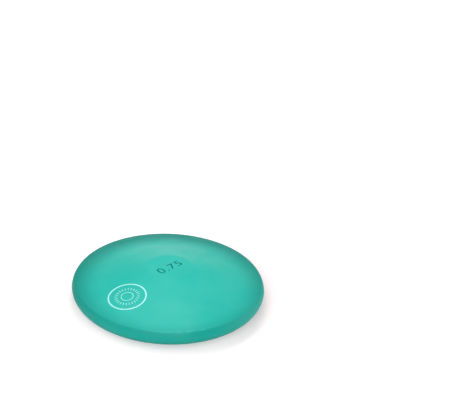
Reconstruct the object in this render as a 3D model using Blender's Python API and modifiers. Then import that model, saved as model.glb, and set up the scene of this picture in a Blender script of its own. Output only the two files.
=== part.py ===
"""A moulded rubber throwing discus: two rubber halves round a steel weight plate, and a printed ring.

Metres, +Z up. The origin is the centre of the lower flat, on which the discus lies.
The digits on the upper flat read along +X.
"""
import math

import bmesh
import bpy
from mathutils import Matrix, Vector

# Overall sizes
DIAMETER = 0.167
THICKNESS = 0.035
FLAT_DIAMETER = 0.0395

# Rim: a barrel-shaped wall between two corners, and the shoulder just inside it
RIM_HEIGHT = 0.0117
RIM_BULGE = 0.0024
CORNER_RADIUS = 0.0015
SHOULDER_WIDTH = 0.0095
SHOULDER_RISE = 0.0003
SHOULDER_RADIUS = 0.060
FLAT_EDGE_RADIUS = 0.011

# Steel plate inside, and the rubber bosses that pass through its holes
PLATE_DIAMETER = 0.082
PLATE_THICKNESS = 0.004
KEY_COUNT = 6
KEY_CIRCLE_RADIUS = 0.026
BOSS_DIAMETER = 0.009
SOCKET_DEPTH = 0.0018

# Printed ring on the upper face
RING_RADIUS = 0.0154
RING_LINE_WIDTH = 0.00125
RING_TO_RIM = 0.0149
RING_DIRECTION = math.radians(186.1)
INK_THICKNESS = 0.0004

# Digits sunk in the upper flat
DIGITS = "0.75"
DIGITS_LENGTH = 0.0255
DIGITS_HEIGHT = 0.0080
DIGITS_DEPTH = 0.0007
DIGITS_CENTRE = (-0.0008, -0.0006)
DIGITS_SPACING = 1.10

# Clearance between neighbouring pieces
GAP = 0.0003

# Fineness of the turned shapes
TURNED_STEPS = 72
RING_STEPS = 60
BOSS_STEPS = 20
ARC_POINTS = 5
WALL_POINTS = 6
MERGE = 0.00001
CRISP_ANGLE = math.radians(30)

MID_HEIGHT = THICKNESS / 2
RADIUS = DIAMETER / 2


def collection(name):
    """A new collection in the scene."""
    made = bpy.data.collections.new(name)
    bpy.context.scene.collection.children.link(made)
    return made


def material(name, colour, roughness, metallic=0.0):
    """A Principled material."""
    made = bpy.data.materials.new(name)
    made.use_nodes = True
    shader = made.node_tree.nodes["Principled BSDF"]
    shader.inputs["Base Color"].default_value = (*colour, 1.0)
    shader.inputs["Roughness"].default_value = roughness
    shader.inputs["Metallic"].default_value = metallic
    made.diffuse_color = (*colour, 1.0)
    return made


def add_object(name, mesh, group):
    """An object for a mesh, in a collection."""
    made = bpy.data.objects.new(name, mesh)
    group.objects.link(made)
    return made


def as_guide(made):
    """Marks a cutter, which is not part of the model."""
    made.hide_render = True
    made.display_type = "WIRE"
    return made


def fillet(points, radii):
    """An outline's (radius, height) points, with each inner corner rounded to its radius."""
    outline = [points[0]]
    for before, corner, after, radius in zip(points, points[1:], points[2:], radii):
        to_before = (before - corner).normalized()
        to_after = (after - corner).normalized()
        half_angle = to_before.angle(to_after) / 2
        tangent = radius / math.tan(half_angle)
        if tangent < MERGE:
            outline.append(corner)
            continue
        middle = corner + (to_before + to_after).normalized() * (radius / math.sin(half_angle))
        start = corner + to_before * tangent - middle
        end = corner + to_after * tangent - middle
        start_angle = math.atan2(start.y, start.x)
        end_angle = math.atan2(end.y, end.x)
        for step in range(ARC_POINTS):
            angle = start_angle + (end_angle - start_angle) * step / (ARC_POINTS - 1)
            outline.append(middle + Vector((math.cos(angle), math.sin(angle))) * radius)
    outline.append(points[-1])
    return outline


def face_outline(lift=0.0):
    """The face from the axis out to the rim's sharp corner, in heights above the mid-height plane."""
    flat = Vector((FLAT_DIAMETER / 2, THICKNESS / 2))
    corner = Vector((RADIUS - RIM_BULGE, RIM_HEIGHT / 2))
    shoulder_radius = RADIUS - SHOULDER_WIDTH
    share = (shoulder_radius - flat.x) / (corner.x - flat.x)
    shoulder = flat.lerp(corner, share) + Vector((0.0, SHOULDER_RISE))
    points = [Vector((0.0, THICKNESS / 2)), flat, shoulder, corner]
    return [point + Vector((0.0, lift)) for point in points]


def wall_outline():
    """The barrel wall below its corner, down to the mid-height plane."""
    half_height = RIM_HEIGHT / 2
    barrel_radius = (RIM_BULGE**2 + half_height**2) / (2 * RIM_BULGE)
    corner_angle = math.asin(half_height / barrel_radius)
    angles = [corner_angle * (1 - step / WALL_POINTS) for step in range(1, WALL_POINTS)]
    centre = RADIUS - barrel_radius
    wall = [Vector((centre + barrel_radius * math.cos(a), barrel_radius * math.sin(a))) for a in angles]
    edge_angle = math.asin(GAP / 2 / barrel_radius)
    edge = Vector((centre + barrel_radius * math.cos(edge_angle), GAP / 2))
    return [point for point in wall if point.y > GAP] + [edge]


def outer_outline():
    """The whole outside of a half, from the axis over the face and round the rim."""
    points = face_outline() + wall_outline()
    radii = [FLAT_EDGE_RADIUS, SHOULDER_RADIUS, CORNER_RADIUS] + [0.0] * len(points)
    return fillet(points, radii)


def pocket_radius():
    """Radius of the pocket that holds the plate."""
    return PLATE_DIAMETER / 2 + GAP


def pocket_height():
    """Height of the pocket's end above the mid-height plane."""
    return PLATE_THICKNESS / 2 + GAP


def turned(name, outline, group, steps=TURNED_STEPS, location=(0.0, 0.0, 0.0)):
    """A body turned about Z from an outline that runs down its outer side."""
    mesh = bpy.data.meshes.new(name)
    shape = bmesh.new()
    corners = [shape.verts.new((point.x, 0.0, point.y)) for point in outline]
    for start, end in zip(corners, corners[1:]):
        shape.edges.new((start, end))
    if outline[0].x > MERGE:
        shape.edges.new((corners[-1], corners[0]))
    shape.to_mesh(mesh)
    shape.free()
    made = add_object(name, mesh, group)
    made.location = location
    screw = made.modifiers.new("turn", "SCREW")
    screw.steps = steps
    screw.render_steps = steps
    screw.use_merge_vertices = True
    screw.merge_threshold = MERGE
    return made


def boolean(made, operation, other):
    """Adds a Boolean modifier."""
    modifier = made.modifiers.new(operation.lower(), "BOOLEAN")
    modifier.operation = operation
    modifier.object = other
    modifier.solver = "EXACT"


def finish(made, finish_material):
    """Applies a piece's modifiers, and gives it its material and smooth shading with crisp edges."""
    bpy.context.view_layer.update()
    evaluated = made.evaluated_get(bpy.context.evaluated_depsgraph_get())
    mesh = bpy.data.meshes.new_from_object(evaluated)
    made.modifiers.clear()
    made.data = mesh
    mesh.materials.clear()
    mesh.materials.append(finish_material)
    mesh.shade_smooth()
    mesh.set_sharp_from_angle(angle=CRISP_ANGLE)


def key_places():
    """Where the plate is keyed, on a circle round the axis."""
    for index in range(KEY_COUNT):
        angle = 2 * math.pi * index / KEY_COUNT
        yield KEY_CIRCLE_RADIUS * math.cos(angle), KEY_CIRCLE_RADIUS * math.sin(angle)


def key_cylinders(name, radius, bottom, top, guides):
    """One cylinder at each key place, between two heights."""
    mesh = bpy.data.meshes.new(name)
    shape = bmesh.new()
    for x, y in key_places():
        place = Matrix.Translation((x, y, (bottom + top) / 2))
        bmesh.ops.create_cone(shape, cap_ends=True, segments=BOSS_STEPS, radius1=radius,
                              radius2=radius, depth=top - bottom, matrix=place)
    shape.to_mesh(mesh)
    shape.free()
    return as_guide(add_object(name, mesh, guides))


def ring_centre():
    """Where the printed ring's axis stands."""
    reach = RADIUS - RING_TO_RIM - RING_RADIUS - RING_LINE_WIDTH / 2
    return reach * math.cos(RING_DIRECTION), reach * math.sin(RING_DIRECTION)


def face_skin(name, above, below, guides):
    """A layer along the upper face, between two heights above it."""
    radii = [FLAT_EDGE_RADIUS, SHOULDER_RADIUS]
    upper = fillet(face_outline(above), radii)
    lower = fillet(face_outline(below), radii)
    made = turned(name, upper + lower[::-1], guides, location=(0.0, 0.0, MID_HEIGHT))
    return as_guide(made)


def ring_band(name, margin, skin, group):
    """A ring that follows the face: an upright band, kept only where it meets a layer of the face."""
    inner = RING_RADIUS - RING_LINE_WIDTH / 2 - margin
    outer = RING_RADIUS + RING_LINE_WIDTH / 2 + margin
    outline = [Vector((inner, 0.0)), Vector((inner, THICKNESS)),
               Vector((outer, THICKNESS)), Vector((outer, 0.0))]
    made = turned(name, outline, group, RING_STEPS, (*ring_centre(), 0.0))
    boolean(made, "INTERSECT", skin)
    return made


def digits_cutter(guides):
    """The digits as closed solids, set to their length and height, that sink into the upper flat."""
    text = bpy.data.curves.new("digits", "FONT")
    text.body = DIGITS
    text.space_character = DIGITS_SPACING
    text.resolution_u = 3
    text.render_resolution_u = 0
    text.extrude = DIGITS_DEPTH
    drawn = add_object("digits", text, guides)
    bpy.context.view_layer.update()
    evaluated = drawn.evaluated_get(bpy.context.evaluated_depsgraph_get())
    mesh = bpy.data.meshes.new_from_object(evaluated)
    bpy.data.objects.remove(drawn)
    low_x, high_x = min(v.co.x for v in mesh.vertices), max(v.co.x for v in mesh.vertices)
    low_y, high_y = min(v.co.y for v in mesh.vertices), max(v.co.y for v in mesh.vertices)
    centred = Matrix.Translation((-(low_x + high_x) / 2, -(low_y + high_y) / 2, 0.0))
    sized = Matrix.Diagonal((DIGITS_LENGTH / (high_x - low_x), DIGITS_HEIGHT / (high_y - low_y), 1.0, 1.0))
    mesh.transform(sized @ centred)
    shape = bmesh.new()
    shape.from_mesh(mesh)
    bmesh.ops.remove_doubles(shape, verts=shape.verts, dist=MERGE)
    shape.to_mesh(mesh)
    shape.free()
    cutter = add_object("digits_cutter", mesh, guides)
    cutter.location = (*DIGITS_CENTRE, THICKNESS)
    return as_guide(cutter)


def upper_half(parts, guides, rubber):
    """The upper rubber half, with the digits, the ring's groove and the bosses."""
    inside = [Vector((pocket_radius(), GAP / 2)), Vector((pocket_radius(), pocket_height())),
              Vector((0.0, pocket_height()))]
    made = turned("upper_rubber_half", outer_outline() + inside, parts, location=(0.0, 0.0, MID_HEIGHT))
    boss_end = MID_HEIGHT - pocket_height() - SOCKET_DEPTH + GAP
    boss_root = MID_HEIGHT + pocket_height() + GAP
    boolean(made, "UNION", key_cylinders("bosses", BOSS_DIAMETER / 2, boss_end, boss_root, guides))
    groove_skin = face_skin("groove_layer", GAP, -INK_THICKNESS - GAP, guides)
    boolean(made, "DIFFERENCE", as_guide(ring_band("ring_groove", GAP, groove_skin, guides)))
    boolean(made, "DIFFERENCE", digits_cutter(guides))
    finish(made, rubber)


def lower_half(parts, guides, rubber):
    """The lower rubber half, with the sockets for the bosses."""
    inside = [Vector((0.0, -pocket_height())), Vector((pocket_radius(), -pocket_height())),
              Vector((pocket_radius(), -GAP / 2))]
    outside = [Vector((point.x, -point.y)) for point in reversed(outer_outline())]
    made = turned("lower_rubber_half", inside + outside, parts, location=(0.0, 0.0, MID_HEIGHT))
    socket_floor = MID_HEIGHT - pocket_height() - SOCKET_DEPTH
    sockets = key_cylinders("sockets", BOSS_DIAMETER / 2 + GAP, socket_floor, MID_HEIGHT, guides)
    boolean(made, "DIFFERENCE", sockets)
    finish(made, rubber)


def weight_plate(parts, guides, steel):
    """The steel plate, with a hole for each boss."""
    mesh = bpy.data.meshes.new("steel_weight_plate")
    shape = bmesh.new()
    bmesh.ops.create_cone(shape, cap_ends=True, segments=TURNED_STEPS, radius1=PLATE_DIAMETER / 2,
                          radius2=PLATE_DIAMETER / 2, depth=PLATE_THICKNESS)
    shape.to_mesh(mesh)
    shape.free()
    made = add_object("steel_weight_plate", mesh, parts)
    made.location = (0.0, 0.0, MID_HEIGHT)
    low, high = MID_HEIGHT - PLATE_THICKNESS, MID_HEIGHT + PLATE_THICKNESS
    boolean(made, "DIFFERENCE", key_cylinders("key_holes", BOSS_DIAMETER / 2 + GAP, low, high, guides))
    finish(made, steel)


def printed_ring(parts, guides, ink):
    """The ring printed on the upper face, flush in its groove."""
    skin = face_skin("ink_layer", 0.0, -INK_THICKNESS, guides)
    made = ring_band("printed_ring", 0.0, skin, parts)
    finish(made, ink)


def main():
    for old in list(bpy.data.objects):
        bpy.data.objects.remove(old)
    parts = collection("rubber_discus")
    guides = collection("cutters")
    rubber = material("green_rubber", (0.020, 0.470, 0.385), 0.5)
    steel = material("steel", (0.50, 0.51, 0.53), 0.4, 1.0)
    ink = material("white_ink", (0.80, 0.93, 0.92), 0.6)
    lower_half(parts, guides, rubber)
    weight_plate(parts, guides, steel)
    upper_half(parts, guides, rubber)
    printed_ring(parts, guides, ink)


main()
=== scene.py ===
import math

import bmesh
import bpy
from mathutils import Matrix, Quaternion, Vector


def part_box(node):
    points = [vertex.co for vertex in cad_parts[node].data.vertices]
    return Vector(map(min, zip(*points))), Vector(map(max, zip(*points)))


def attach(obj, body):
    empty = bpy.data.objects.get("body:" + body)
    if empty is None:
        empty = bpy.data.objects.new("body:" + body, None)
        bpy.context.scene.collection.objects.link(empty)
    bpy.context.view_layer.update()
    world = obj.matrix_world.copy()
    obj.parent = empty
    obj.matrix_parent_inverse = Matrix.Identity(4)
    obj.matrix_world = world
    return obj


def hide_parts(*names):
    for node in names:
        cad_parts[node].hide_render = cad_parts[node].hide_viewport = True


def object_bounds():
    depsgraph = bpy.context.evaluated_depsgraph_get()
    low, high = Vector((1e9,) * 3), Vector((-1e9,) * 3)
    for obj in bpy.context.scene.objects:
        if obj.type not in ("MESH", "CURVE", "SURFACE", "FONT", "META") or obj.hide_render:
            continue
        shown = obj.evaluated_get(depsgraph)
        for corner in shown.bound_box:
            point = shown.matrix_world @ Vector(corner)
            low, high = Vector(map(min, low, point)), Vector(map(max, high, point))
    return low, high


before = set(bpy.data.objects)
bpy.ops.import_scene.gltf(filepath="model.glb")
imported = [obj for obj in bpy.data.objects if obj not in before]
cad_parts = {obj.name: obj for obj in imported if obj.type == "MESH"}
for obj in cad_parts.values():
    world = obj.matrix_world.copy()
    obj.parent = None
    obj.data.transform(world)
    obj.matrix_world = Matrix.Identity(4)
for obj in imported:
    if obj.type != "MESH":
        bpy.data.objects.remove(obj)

cad_low, cad_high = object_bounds()
plate_low, plate_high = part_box("steel_weight_plate")
ring_low, ring_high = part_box("printed_ring")

# The discus lies on its lower flat at the origin, +Z up. Everything is in metres.
RADIUS = (cad_high.x - cad_low.x) / 2
THICKNESS = cad_high.z - cad_low.z
MIDDLE = Vector((0.0, 0.0, THICKNESS / 2))
FLAT_RADIUS = 0.01975
FLAT_EDGE_RADIUS = 0.011

# Rim: a barrel-shaped wall between two corners, and the shoulder just inside it
RIM_HEIGHT = 0.0117
RIM_BULGE = 0.0024
CORNER_RADIUS = 0.0015
SHOULDER_WIDTH = 0.0095
SHOULDER_RISE = 0.0003
SHOULDER_RADIUS = 0.060

# The mould's parting line: a fine raised bead round the middle of the wall
BEAD_HEIGHT = 0.00012
BEAD_WIDTH = 0.00055
PARTING_GAP = 0.00003

# Inside: the pocket round the steel plate, and the bosses that pass through its holes
GAP = 0.0003
POCKET_RADIUS = (plate_high.x - plate_low.x) / 2 + GAP
POCKET_HEIGHT = (plate_high.z - plate_low.z) / 2 + GAP
KEY_COUNT = 6
KEY_CIRCLE_RADIUS = 0.026
BOSS_RADIUS = 0.0045
SOCKET_DEPTH = 0.0018

# Digits sunk in the upper flat
DIGITS = "0.75"
DIGITS_LENGTH = 0.0255
DIGITS_HEIGHT = 0.0080
DIGITS_DEPTH = 0.0007
DIGITS_CENTRE = Vector((-0.0008, -0.0006))
DIGITS_SPACING = 1.10
DIGITS_FLOOR_ROUNDING = 0.00020
DIGITS_LIP = 0.00010
LIP_ANGLE = math.radians(60)
LIPS_WITHIN = FLAT_RADIUS - 0.0011

# Print on the upper face: a ring, and a plain dial of ticks inside it
RING_CENTRE = (ring_low + ring_high).xy / 2
RING_OUTER = (ring_high.y - ring_low.y) / 2
RING_LINE = 0.00125
INK_LIFT = 0.00005
INK_SINK = 0.00010
TICK_COUNT = 24
TICK_LENGTH = 0.0026
TICK_WIDTH = 0.00050
TICK_OUTER = 0.0106
DIAL_LINE = 0.0005
DIAL_RADIUS = 0.0052

# Fineness of the shapes
TURNED_STEPS = 288
BOSS_STEPS = 48
ARC_POINTS = 13
WALL_POINTS = 16
BEAD_POINTS = 6
ROUNDING_STEPS = 3
TEXT_STEPS = 10
PRINT_STEPS = 192
PRINT_PARTS = 4
TICK_PARTS = 2
MERGE = 0.000002
CRISP_ANGLE = math.radians(32)

# Colours
RUBBER = (0.002, 0.480, 0.392, 1.0)
# A dark green for random specks, and for the painted shade at the rim and on the wall
RUBBER_SPECK_AND_SHADE = (0.001, 0.196, 0.160, 1.0)
# A paler green for the clouds of bloom, and for the painted highlight along the corner
RUBBER_BLOOM_AND_HIGHLIGHT = (0.050, 0.560, 0.470, 1.0)
# A dark green painted as shade on the floors of the sunk digits
RUBBER_SUNK_SHADE = (0.0, 0.190, 0.150, 1.0)
INK = (0.400, 0.880, 0.880, 1.0)
STEEL = (0.50, 0.51, 0.53, 1.0)
STEEL_OXIDE = (0.40, 0.39, 0.38, 1.0)
FLOOR_PAINT = (0.78, 0.66, 0.675, 1.0)
WHITE = (1.0, 1.0, 1.0, 1.0)

# Painted shade darkens the rubber towards the rim, and the rubber roughens there, beyond a circle a little
# off the middle
UNSHADED_CENTRE = Vector((-0.0072, -0.0092, 0.0))
SHADE_FROM = 0.058
SHADE_DARKEST_AT = 0.086
RIM_SHADE = 0.70
ROUGHENS_FROM = 0.056
ROUGHEST_AT = 0.083
RIM_ROUGHENING = 0.20

# The wall has painted shade of its own, which grows with the distance from its mid-height
WALL_ENDS_FROM = RIM_HEIGHT / 2 - 0.0006
WALL_ENDS_AT = RIM_HEIGHT / 2 - 0.0002
WALL_MID = 0.0010
WALL_TOP = 0.0055
WALL_MID_SHADE = 0.14
WALL_TOP_SHADE = 0.38

# The corner between face and wall has a painted highlight in patches, most of all along one stretch
HIGHLIGHT_RADIUS = 0.0808
HIGHLIGHT_INNER = 0.0002
HIGHLIGHT_OUTER = 0.0011
HIGHLIGHT_PLACE = Vector((-0.0488, -0.0648, 0.0))
HIGHLIGHT_MOST_WITHIN = 0.008
HIGHLIGHT_LEAST_BEYOND = 0.032
HIGHLIGHT_MOST = 0.60
HIGHLIGHT_LEAST = 0.08

# The digits lie within this part of the upper flat, and nothing outside it takes their painted shade
SUNK_WITHIN = FLAT_RADIUS - 0.0035
SUNK_ENDS_AT = FLAT_RADIUS - 0.0030

# The floor gives off white of its own where it is seen, but least within a circle a little off the
# middle, so that it keeps the shadow there. The world's light on everything else is faint.
FLOOR_RADIUS = 6.0
FLOOR_STEPS = 96
GLOW_CENTRE = Vector((0.0216, 0.0106, 0.0))
GLOW_START = 0.070
GLOW_END = 0.138
GLOW_NEAR = 0.34
GLOW_FAR = 1.0
AMBIENT = 0.02

# Camera: its place round the middle of the discus, in degrees and metres, and where it aims
CAMERA_AZIMUTH = -44.06
CAMERA_ELEVATION = 31.99
CAMERA_DISTANCE = 0.721
CAMERA_AIM = Vector((0.18637, 0.1088, 0.0))
CAMERA_ROLL = math.radians(4.34)
CAMERA_LENS = 65.45


def fillet(points, radii):
    """An outline's (radius, height) points, with each inner corner rounded to its radius."""
    outline = [points[0]]
    for before, corner, after, radius in zip(points, points[1:], points[2:], radii):
        to_before = (before - corner).normalized()
        to_after = (after - corner).normalized()
        half_angle = to_before.angle(to_after) / 2
        tangent = radius / math.tan(half_angle)
        middle = corner + (to_before + to_after).normalized() * (radius / math.sin(half_angle))
        start = corner + to_before * tangent - middle
        end = corner + to_after * tangent - middle
        start_angle = math.atan2(start.y, start.x)
        end_angle = math.atan2(end.y, end.x)
        for angle in spread(start_angle, end_angle, ARC_POINTS - 1):
            outline.append(middle + around(radius, angle))
    outline.extend(points[len(radii) + 1:])
    return outline


def spread(low, high, parts):
    """Evenly spaced numbers from one end of a range to the other."""
    return [low + (high - low) * step / parts for step in range(parts + 1)]


def around(reach, angle):
    """A place on a circle round the origin."""
    return Vector((math.cos(angle), math.sin(angle))) * reach


def face_points():
    """The face's corners from the axis out to the rim, in heights above the mid-height plane."""
    flat = Vector((FLAT_RADIUS, THICKNESS / 2))
    corner = Vector((RADIUS - RIM_BULGE, RIM_HEIGHT / 2))
    shoulder_radius = RADIUS - SHOULDER_WIDTH
    share = (shoulder_radius - flat.x) / (corner.x - flat.x)
    shoulder = flat.lerp(corner, share) + Vector((0.0, SHOULDER_RISE))
    return [Vector((0.0, THICKNESS / 2)), flat, shoulder, corner]


def bead(height):
    """How far the parting bead stands out at a height above the mid-height plane."""
    across = min(1.0, height / (BEAD_WIDTH / 2))
    return BEAD_HEIGHT * (0.5 + 0.5 * math.cos(math.pi * across))


def wall_points():
    """The barrel wall below its corner, down to the parting line."""
    half_height = RIM_HEIGHT / 2
    barrel_radius = (RIM_BULGE**2 + half_height**2) / (2 * RIM_BULGE)
    centre = RADIUS - barrel_radius
    heights = [h for h in spread(half_height, 0.0, WALL_POINTS)[1:] if h > BEAD_WIDTH / 2]
    heights += spread(BEAD_WIDTH / 2, 0.0, BEAD_POINTS)[:-1] + [PARTING_GAP / 2]
    reach = [math.sqrt(barrel_radius**2 - h**2) for h in heights]
    return [Vector((centre + x - BEAD_HEIGHT + bead(h), h)) for x, h in zip(reach, heights)]


def outer_outline():
    """The whole outside of a half, from the axis over the face and round the rim."""
    return fillet(face_points() + wall_points(), [FLAT_EDGE_RADIUS, SHOULDER_RADIUS, CORNER_RADIUS])


FACE_OUTLINE = fillet(face_points(), [FLAT_EDGE_RADIUS, SHOULDER_RADIUS])


def face_height(radius):
    """Height of the upper face above the floor at a radius."""
    for inner, outer in zip(FACE_OUTLINE, FACE_OUTLINE[1:]):
        if radius <= outer.x:
            share = (radius - inner.x) / (outer.x - inner.x)
            return MIDDLE.z + inner.y + (outer.y - inner.y) * share
    return MIDDLE.z + FACE_OUTLINE[-1].y


def add_object(name, data):
    """A new object in the scene."""
    made = bpy.data.objects.new(name, data)
    bpy.context.scene.collection.objects.link(made)
    return made


def mesh_object(name, shape):
    """A new object from a bmesh, which is freed."""
    mesh = bpy.data.meshes.new(name)
    shape.to_mesh(mesh)
    shape.free()
    return add_object(name, mesh)


def turned(name, outline):
    """A body turned about Z, from an outline that runs down its outer side."""
    shape = bmesh.new()
    corners = [shape.verts.new((point.x, 0.0, MIDDLE.z + point.y)) for point in outline]
    for start, end in zip(corners, corners[1:]):
        shape.edges.new((start, end))
    made = mesh_object(name, shape)
    screw = made.modifiers.new("turn", "SCREW")
    screw.steps = TURNED_STEPS
    screw.render_steps = TURNED_STEPS
    screw.use_merge_vertices = True
    screw.merge_threshold = MERGE
    return made


def key_cylinders(name, radius, bottom, top):
    """One cylinder at each place where the plate is keyed, between two heights above mid-height."""
    shape = bmesh.new()
    for index in range(KEY_COUNT):
        place = around(KEY_CIRCLE_RADIUS, 2 * math.pi * index / KEY_COUNT)
        matrix = Matrix.Translation((place.x, place.y, MIDDLE.z + (bottom + top) / 2))
        bmesh.ops.create_cone(shape, cap_ends=True, segments=BOSS_STEPS, radius1=radius,
                              radius2=radius, depth=top - bottom, matrix=matrix)
    return mesh_object(name, shape)


def boolean(made, operation, other):
    """Adds another object to a piece, or cuts it out."""
    modifier = made.modifiers.new(operation.lower(), "BOOLEAN")
    modifier.operation = operation
    modifier.object = other
    modifier.solver = "EXACT"


def evaluated_mesh(made):
    """An object's mesh as its settings and modifiers make it."""
    bpy.context.view_layer.update()
    evaluated = made.evaluated_get(bpy.context.evaluated_depsgraph_get())
    return bpy.data.meshes.new_from_object(evaluated)


def apply_modifiers(made, guides=()):
    """Applies a piece's modifiers, and removes the cutters that they used."""
    mesh = evaluated_mesh(made)
    made.modifiers.clear()
    made.data = mesh
    for guide in guides:
        bpy.data.objects.remove(guide)


def finish_piece(made, material, *nodes, slot):
    """Shades a piece, gives it its material, puts it under the root body, and hides the CAD parts that it
    stands in for.
    """
    made.data.materials.clear()
    made.data.materials.append(material)
    made.data.shade_smooth()
    made.data.set_sharp_from_angle(angle=CRISP_ANGLE)
    weighted = made.modifiers.new("weighted_normals", "WEIGHTED_NORMAL")
    weighted.weight = 100
    weighted.keep_sharp = True
    apply_modifiers(made)
    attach(made, "root")
    if nodes:
        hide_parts(*nodes)


def drawn_digits():
    """The digits as a mesh with rounded floors, and the scale that brings it to its size."""
    text = bpy.data.curves.new("digits", "FONT")
    text.body = DIGITS
    text.space_character = DIGITS_SPACING
    text.resolution_u = TEXT_STEPS
    text.extrude = 1.0
    drawn = add_object("digits", text)
    bpy.context.view_layer.update()
    scale = Vector((DIGITS_LENGTH / drawn.dimensions.x, DIGITS_HEIGHT / drawn.dimensions.y))
    text.bevel_depth = DIGITS_FLOOR_ROUNDING / scale.y
    text.offset = -text.bevel_depth
    text.bevel_resolution = ROUNDING_STEPS
    mesh = evaluated_mesh(drawn)
    bpy.data.objects.remove(drawn)
    return mesh, scale


def digits_cutter():
    """The digits as closed solids, set to their size, that sink into the upper flat."""
    mesh, scale = drawn_digits()
    shape = bmesh.new()
    shape.from_mesh(mesh)
    low = Vector([min(vertex.co[axis] for vertex in shape.verts) for axis in range(3)])
    high = Vector([max(vertex.co[axis] for vertex in shape.verts) for axis in range(3)])
    middle = (low + high) / 2
    for vertex in shape.verts:
        vertex.co.x = (vertex.co.x - middle.x) * scale.x + DIGITS_CENTRE.x
        vertex.co.y = (vertex.co.y - middle.y) * scale.y + DIGITS_CENTRE.y
        vertex.co.z = (vertex.co.z - low.z) * scale.y + THICKNESS - DIGITS_DEPTH
    bmesh.ops.remove_doubles(shape, verts=shape.verts, dist=MERGE)
    return mesh_object("digits_cutter", shape)


def is_lip(edge):
    """Whether an edge is one where a digit's wall meets the upper flat."""
    level = all(abs(vertex.co.z - THICKNESS) < MERGE for vertex in edge.verts)
    near = all(vertex.co.xy.length < LIPS_WITHIN for vertex in edge.verts)
    return level and near and len(edge.link_faces) == 2 and edge.calc_face_angle(0.0) > LIP_ANGLE


def round_lips(mesh):
    """Rounds the edges where the digits' walls meet the upper flat."""
    shape = bmesh.new()
    shape.from_mesh(mesh)
    lips = [edge for edge in shape.edges if is_lip(edge)]
    bmesh.ops.bevel(shape, geom=lips, offset=DIGITS_LIP, segments=ROUNDING_STEPS, profile=0.5,
                    affect="EDGES", clamp_overlap=True)
    shape.to_mesh(mesh)
    shape.free()


def upper_rubber(material):
    """The upper moulded half, with the sunk digits and the bosses."""
    inside = [Vector((POCKET_RADIUS, PARTING_GAP / 2)), Vector((POCKET_RADIUS, POCKET_HEIGHT)),
              Vector((0.0, POCKET_HEIGHT))]
    made = turned("upper_rubber", outer_outline() + inside)
    boss_end = -POCKET_HEIGHT - SOCKET_DEPTH + GAP
    bosses = key_cylinders("bosses", BOSS_RADIUS, boss_end, POCKET_HEIGHT + GAP)
    cutter = digits_cutter()
    boolean(made, "UNION", bosses)
    boolean(made, "DIFFERENCE", cutter)
    apply_modifiers(made, [bosses, cutter])
    round_lips(made.data)
    finish_piece(made, material, "upper_rubber_half", slot="green_rubber")


def lower_rubber(material):
    """The lower moulded half, with the sockets for the bosses."""
    inside = [Vector((0.0, -POCKET_HEIGHT)), Vector((POCKET_RADIUS, -POCKET_HEIGHT)),
              Vector((POCKET_RADIUS, -PARTING_GAP / 2))]
    outside = [Vector((point.x, -point.y)) for point in reversed(outer_outline())]
    made = turned("lower_rubber", inside + outside)
    sockets = key_cylinders("sockets", BOSS_RADIUS + GAP, -POCKET_HEIGHT - SOCKET_DEPTH, -GAP)
    boolean(made, "DIFFERENCE", sockets)
    apply_modifiers(made, [sockets])
    finish_piece(made, material, "lower_rubber_half", slot="green_rubber")


def print_patch(shape, across, along, place_of, closed):
    """Adds one printed patch to a bmesh: a thin solid that follows the face.

    across runs from the patch's inner to its outer distance from the print's centre, along holds
    the patch's angles or sideways offsets, and place_of gives the place of each pair.
    """
    layers = []
    for lift in (INK_LIFT, -INK_SINK):
        rows = []
        for step in along:
            row = []
            for reach in across:
                place = RING_CENTRE + place_of(reach, step)
                row.append(shape.verts.new((place.x, place.y, face_height(place.length) + lift)))
            rows.append(row)
        if closed:
            rows.append(rows[0])
        layers.append(rows)
    top, bottom = layers
    for i in range(len(top) - 1):
        for j in range(len(across) - 1):
            shape.faces.new((top[i][j], top[i][j + 1], top[i + 1][j + 1], top[i + 1][j]))
            shape.faces.new((bottom[i][j], bottom[i + 1][j], bottom[i + 1][j + 1], bottom[i][j + 1]))
        for j in (0, len(across) - 1):
            shape.faces.new((top[i][j], top[i + 1][j], bottom[i + 1][j], bottom[i][j]))
    if not closed:
        for i in (0, len(top) - 1):
            for j in range(len(across) - 1):
                shape.faces.new((top[i][j], top[i][j + 1], bottom[i][j + 1], bottom[i][j]))


def add_ring(shape, outer, line):
    """A printed circle."""
    across = spread(outer - line, outer, PRINT_PARTS)
    along = spread(0.0, 2 * math.pi, PRINT_STEPS)[:-1]
    print_patch(shape, across, along, around, closed=True)


def add_tick(shape, angle):
    """A printed tick that points at the print's centre."""
    outward = around(1.0, angle)
    sideways = Vector((-outward.y, outward.x))

    def place_of(reach, side):
        return outward * reach + sideways * side

    across = spread(TICK_OUTER - TICK_LENGTH, TICK_OUTER, PRINT_PARTS)
    along = spread(-TICK_WIDTH / 2, TICK_WIDTH / 2, TICK_PARTS)
    print_patch(shape, across, along, place_of, closed=False)


def printed_piece(name, material, fill, *nodes):
    """A piece of print, filled in by a function."""
    shape = bmesh.new()
    fill(shape)
    bmesh.ops.recalc_face_normals(shape, faces=shape.faces)
    finish_piece(mesh_object(name, shape), material, *nodes, slot="white_ink")


def add_outer_ring(shape):
    """The printed circle round the dial, where CAD has its ring."""
    add_ring(shape, RING_OUTER, RING_LINE)


def add_dial(shape):
    """A small circle with ticks round it."""
    add_ring(shape, DIAL_RADIUS, DIAL_LINE)
    for index in range(TICK_COUNT):
        add_tick(shape, 2 * math.pi * index / TICK_COUNT)


def new_material(name):
    """A new material, with its node tree and its shader."""
    made = bpy.data.materials.new(name)
    made.use_nodes = True
    tree = made.node_tree
    return made, tree, tree.nodes["Principled BSDF"]


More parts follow.
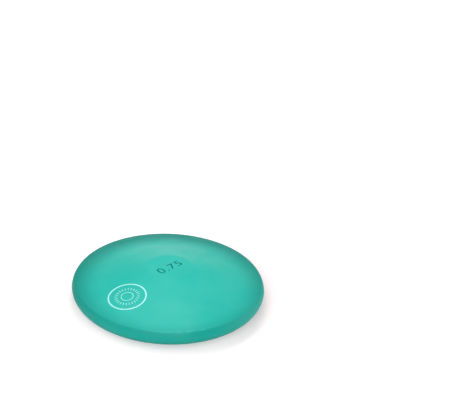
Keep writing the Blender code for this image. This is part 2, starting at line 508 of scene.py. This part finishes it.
def add_node(tree, kind, inputs=None, **settings):
    """A shader node with its settings, and its input sockets' values or links."""
    made = tree.nodes.new(kind)
    for name, value in settings.items():
        setattr(made, name, value)
    for name, value in (inputs or {}).items():
        if isinstance(value, bpy.types.NodeSocket):
            tree.links.new(value, made.inputs[name])
        else:
            made.inputs[name].default_value = value
    return made


def object_place(tree):
    """The place on the object, in metres."""
    return add_node(tree, "ShaderNodeTexCoord").outputs["Object"]


def noise(tree, place, scale, detail, roughness=0.5):
    """A noise texture's value, at a scale per metre."""
    inputs = {"Vector": place, "Scale": scale, "Detail": detail, "Roughness": roughness}
    return add_node(tree, "ShaderNodeTexNoise", inputs).outputs["Fac"]


def ramp(tree, value, low, high, start=0.0, end=1.0, course="SMOOTHSTEP"):
    """A value brought from one range to another, and held at its ends."""
    inputs = {"Value": value, "From Min": low, "From Max": high, "To Min": start, "To Max": end}
    return add_node(tree, "ShaderNodeMapRange", inputs, interpolation_type=course).outputs["Result"]


def maths(tree, operation, first, second=0.0, third=0.0):
    """The result of a sum on up to three values."""
    made = add_node(tree, "ShaderNodeMath", {0: first, 1: second, 2: third}, operation=operation)
    return made.outputs[0]


def product(tree, first, *others):
    """Values multiplied together."""
    result = first
    for other in others:
        result = maths(tree, "MULTIPLY", result, other)
    return result


def gap_to(tree, value, level):
    """How far a value is from a level, on either side."""
    return maths(tree, "ABSOLUTE", maths(tree, "SUBTRACT", value, level))


def reach_from(tree, place, centre):
    """How far a place is from a fixed one."""
    made = add_node(tree, "ShaderNodeVectorMath", {0: place, 1: centre}, operation="DISTANCE")
    return made.outputs["Value"]


def blend(tree, share, first, second):
    """One value laid over another by a share."""
    return maths(tree, "MULTIPLY_ADD", share, maths(tree, "SUBTRACT", second, first), first)


def mix(tree, share, first, second):
    """One colour laid over another by a share. The node takes colours at sockets 6 and 7."""
    made = add_node(tree, "ShaderNodeMix", {0: share, 6: first, 7: second}, data_type="RGBA")
    return made.outputs[2]


def bump(tree, height, strength, distance, normal=None):
    """A surface normal from a height, on top of another normal if there is one."""
    inputs = {"Height": height, "Strength": strength, "Distance": distance}
    if normal is not None:
        inputs["Normal"] = normal
    return add_node(tree, "ShaderNodeBump", inputs).outputs["Normal"]


def sunk_share(tree, radius, height):
    """1 on the floors of the sunk digits, and 0 elsewhere."""
    depth = ramp(tree, height, THICKNESS - DIGITS_DEPTH, THICKNESS - DIGITS_LIP, start=1.0, end=0.0)
    flat = ramp(tree, radius, SUNK_WITHIN, SUNK_ENDS_AT, start=1.0, end=0.0)
    above = maths(tree, "GREATER_THAN", height, MIDDLE.z)
    return product(tree, depth, flat, above)


def painted_shade_share(tree, from_unshaded, height):
    """How much painted shade darkens the green, towards the rim on the faces and by height on the wall."""
    off_middle = gap_to(tree, height, MIDDLE.z)
    rim = ramp(tree, from_unshaded, SHADE_FROM, SHADE_DARKEST_AT, start=0.0, end=RIM_SHADE)
    wall = ramp(tree, off_middle, WALL_ENDS_FROM, WALL_ENDS_AT, start=1.0, end=0.0)
    # Painted shade on the wall, growing away from its mid-height
    wall_shade = ramp(tree, off_middle, WALL_MID, WALL_TOP, start=WALL_MID_SHADE,
                      end=WALL_TOP_SHADE)
    return blend(tree, wall, rim, wall_shade)


def corner_highlight_share(tree, place, level, radius):
    """How much painted highlight lies along the corner between face and wall."""
    off_corner = gap_to(tree, radius, HIGHLIGHT_RADIUS)
    corner = ramp(tree, off_corner, HIGHLIGHT_INNER, HIGHLIGHT_OUTER, start=1.0, end=0.0)
    along = reach_from(tree, level, HIGHLIGHT_PLACE)
    stretch = ramp(tree, along, HIGHLIGHT_MOST_WITHIN, HIGHLIGHT_LEAST_BEYOND, start=HIGHLIGHT_MOST,
                   end=HIGHLIGHT_LEAST)
    highlight_patches = ramp(tree, noise(tree, place, scale=300.0, detail=4.0), 0.34, 0.56)
    return product(tree, corner, highlight_patches, stretch)


def rubber_material():
    """Moulded rubber: fine grain, faint clouds of bloom, painted shade at the rim, on the wall and in the
    sunk digits, and a painted highlight along the corners.
    """
    made, tree, shader = new_material("green_rubber_fine")
    place = object_place(tree)
    x, y, height = add_node(tree, "ShaderNodeSeparateXYZ", {0: place}).outputs
    level = add_node(tree, "ShaderNodeCombineXYZ", {0: x, 1: y}).outputs[0]
    radius = add_node(tree, "ShaderNodeVectorMath", {0: level}, operation="LENGTH").outputs["Value"]
    from_unshaded = reach_from(tree, level, UNSHADED_CENTRE)
    sunk = sunk_share(tree, radius, height)

    clouds = ramp(tree, noise(tree, place, scale=26.0, detail=3.0), 0.35, 0.70, end=0.30)
    specks = ramp(tree, noise(tree, place, scale=950.0, detail=2.0), 0.55, 0.80, end=0.06)
    colour = mix(tree, clouds, RUBBER, RUBBER_BLOOM_AND_HIGHLIGHT)
    colour = mix(tree, specks, colour, RUBBER_SPECK_AND_SHADE)
    # Painted shade towards the rim and on the wall
    colour = mix(tree, painted_shade_share(tree, from_unshaded, height), colour, RUBBER_SPECK_AND_SHADE)
    # Painted highlight along the corner between face and wall
    colour = mix(tree, corner_highlight_share(tree, place, level, radius), colour, RUBBER_BLOOM_AND_HIGHLIGHT)
    # Painted shade on the floors of the sunk digits
    colour = mix(tree, sunk, colour, RUBBER_SUNK_SHADE)
    tree.links.new(colour, shader.inputs["Base Color"])

    wear = noise(tree, place, scale=60.0, detail=4.0, roughness=0.6)
    wear = ramp(tree, wear, 0.30, 0.75, start=0.40, end=0.50)
    matt = ramp(tree, from_unshaded, ROUGHENS_FROM, ROUGHEST_AT, course="LINEAR")
    rough = maths(tree, "MULTIPLY_ADD", matt, RIM_ROUGHENING, wear)
    tree.links.new(blend(tree, sunk, rough, 1.0), shader.inputs["Roughness"])
    shader.inputs["IOR"].default_value = 1.5
    shader.inputs["Specular IOR Level"].default_value = 0.25

    waves = noise(tree, place, scale=45.0, detail=1.0)
    waves = bump(tree, waves, strength=0.35, distance=0.0006)
    grain = noise(tree, place, scale=1700.0, detail=3.0, roughness=0.6)
    grain = bump(tree, grain, strength=0.18, distance=0.00012, normal=waves)
    tree.links.new(grain, shader.inputs["Normal"])
    return made


def ink_material():
    """Screen-printed ink: nearly white, with pinholes where the rubber's grain shows through."""
    made, tree, shader = new_material("white_ink_fine")
    place = object_place(tree)
    pinholes = noise(tree, place, scale=1500.0, detail=3.0, roughness=0.6)
    pinholes = ramp(tree, pinholes, 0.66, 0.74, end=0.55)
    thin = ramp(tree, noise(tree, place, scale=130.0, detail=3.0), 0.45, 0.75, end=0.16)
    share = maths(tree, "MAXIMUM", pinholes, thin)
    tree.links.new(mix(tree, share, INK, RUBBER), shader.inputs["Base Color"])
    shader.inputs["Roughness"].default_value = 0.55
    grain = noise(tree, place, scale=1700.0, detail=3.0, roughness=0.6)
    grain = bump(tree, grain, strength=0.15, distance=0.00010)
    tree.links.new(grain, shader.inputs["Normal"])
    return made


def steel_material():
    """Cold-rolled plate: long rolling streaks and faint oxide clouds."""
    made, tree, shader = new_material("rolled_steel")
    place = object_place(tree)
    stretched = add_node(tree, "ShaderNodeMapping", {"Vector": place, "Scale": (1.0, 30.0, 1.0)})
    streaks = noise(tree, stretched.outputs[0], scale=60.0, detail=5.0, roughness=0.65)
    clouds = ramp(tree, noise(tree, place, scale=70.0, detail=4.0), 0.35, 0.75)
    tree.links.new(mix(tree, clouds, STEEL, STEEL_OXIDE), shader.inputs["Base Color"])
    tree.links.new(ramp(tree, streaks, 0.25, 0.80, start=0.28, end=0.46), shader.inputs["Roughness"])
    tree.links.new(bump(tree, streaks, strength=0.20, distance=0.0001), shader.inputs["Normal"])
    shader.inputs["Metallic"].default_value = 1.0
    return made


def background_rays(tree):
    """1 for the rays that see the background, 0 for those that light the object."""
    rays = add_node(tree, "ShaderNodeLightPath").outputs
    seen = maths(tree, "MAXIMUM", rays["Is Camera Ray"], rays["Is Glossy Ray"])
    return maths(tree, "MAXIMUM", seen, rays["Is Transmission Ray"])


def floor_material():
    """Pale paint, with white of its own where the floor is seen."""
    made, tree, shader = new_material("pale_floor")
    tree.nodes.remove(shader)
    paint = add_node(tree, "ShaderNodeBsdfDiffuse", {"Color": FLOOR_PAINT})
    reach = reach_from(tree, object_place(tree), GLOW_CENTRE)
    own = ramp(tree, reach, GLOW_START, GLOW_END, start=GLOW_NEAR, end=GLOW_FAR)
    strength = product(tree, background_rays(tree), own)
    glow = add_node(tree, "ShaderNodeEmission", {"Strength": strength})
    both = add_node(tree, "ShaderNodeAddShader", {0: paint.outputs[0], 1: glow.outputs[0]})
    tree.links.new(both.outputs[0], tree.nodes["Material Output"].inputs["Surface"])
    return made


def make_floor():
    """A plain pale floor that keeps the shadow."""
    shape = bmesh.new()
    bmesh.ops.create_circle(shape, cap_ends=True, segments=FLOOR_STEPS, radius=FLOOR_RADIUS)
    floor = mesh_object("floor", shape)
    floor.data.materials.append(floor_material())


def make_world():
    """White where it is seen, and a soft even light elsewhere."""
    world = bpy.data.worlds.new("studio")
    world.use_nodes = True
    tree = world.node_tree
    strength = ramp(tree, background_rays(tree), 0.0, 1.0, start=AMBIENT, end=1.0)
    sky = tree.nodes["Background"]
    sky.inputs["Color"].default_value = WHITE
    tree.links.new(strength, sky.inputs["Strength"])
    bpy.context.scene.world = world


def direction(azimuth, elevation):
    """The way from the middle of the discus towards a place round it, from angles in degrees."""
    turn, rise = math.radians(azimuth), math.radians(elevation)
    level = math.cos(rise)
    return Vector((math.sin(turn) * level, -math.cos(turn) * level, math.sin(rise)))


def softbox(name, azimuth, elevation, distance, size, power):
    """A lamp that faces the middle of the discus. Its size is a width and a height, its power in watts."""
    lamp = bpy.data.lights.new(name, "AREA")
    lamp.shape = "RECTANGLE"
    lamp.size, lamp.size_y = size
    lamp.energy = power
    made = add_object(name, lamp)
    away = direction(azimuth, elevation)
    made.location = MIDDLE + away * distance
    made.rotation_mode = "QUATERNION"
    made.rotation_quaternion = away.to_track_quat("Z", "Y")
    made.visible_camera = False


def make_lights():
    """Large boxes round the discus, and small near ones that even out its face."""
    square = (0.36, 0.36)
    small = (0.12, 0.12)
    softbox("front_softbox", 315.0, 35.0, 0.80, square, power=3.06)
    softbox("right_softbox", 45.0, 12.0, 0.80, square, power=1.82)
    softbox("back_softbox", 120.0, 60.0, 0.80, square, power=0.81)
    softbox("back_strip", 135.0, 6.0, 0.90, (0.55, 0.12), power=0.33)
    softbox("top_fill", 0.0, 90.0, 0.28, (0.16, 0.16), power=0.31)
    softbox("near_front_fill", 270.0, 36.0, 0.272, small, power=0.098)
    softbox("near_back_fill", 180.0, 66.4, 0.175, small, power=0.047)


def make_camera():
    """The photograph's viewpoint: the discus stands low on the left of the frame."""
    data = bpy.data.cameras.new("camera")
    data.sensor_width = 36.0
    data.lens = CAMERA_LENS
    made = add_object("camera", data)
    made.location = MIDDLE + direction(CAMERA_AZIMUTH, CAMERA_ELEVATION) * CAMERA_DISTANCE
    made.rotation_mode = "QUATERNION"
    aimed = (CAMERA_AIM - made.location).to_track_quat("-Z", "Y")
    made.rotation_quaternion = aimed @ Quaternion((0.0, 0.0, 1.0), CAMERA_ROLL)
    bpy.context.scene.camera = made


make_camera()
rubber = rubber_material()
ink = ink_material()
upper_rubber(rubber)
lower_rubber(rubber)
printed_piece("print_ring", ink, add_outer_ring, "printed_ring")
printed_piece("print_dial", ink, add_dial)
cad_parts["steel_weight_plate"].data.materials[0] = steel_material()
make_floor()
make_world()
make_lights()
bpy.context.scene.view_settings.view_transform = "Standard"
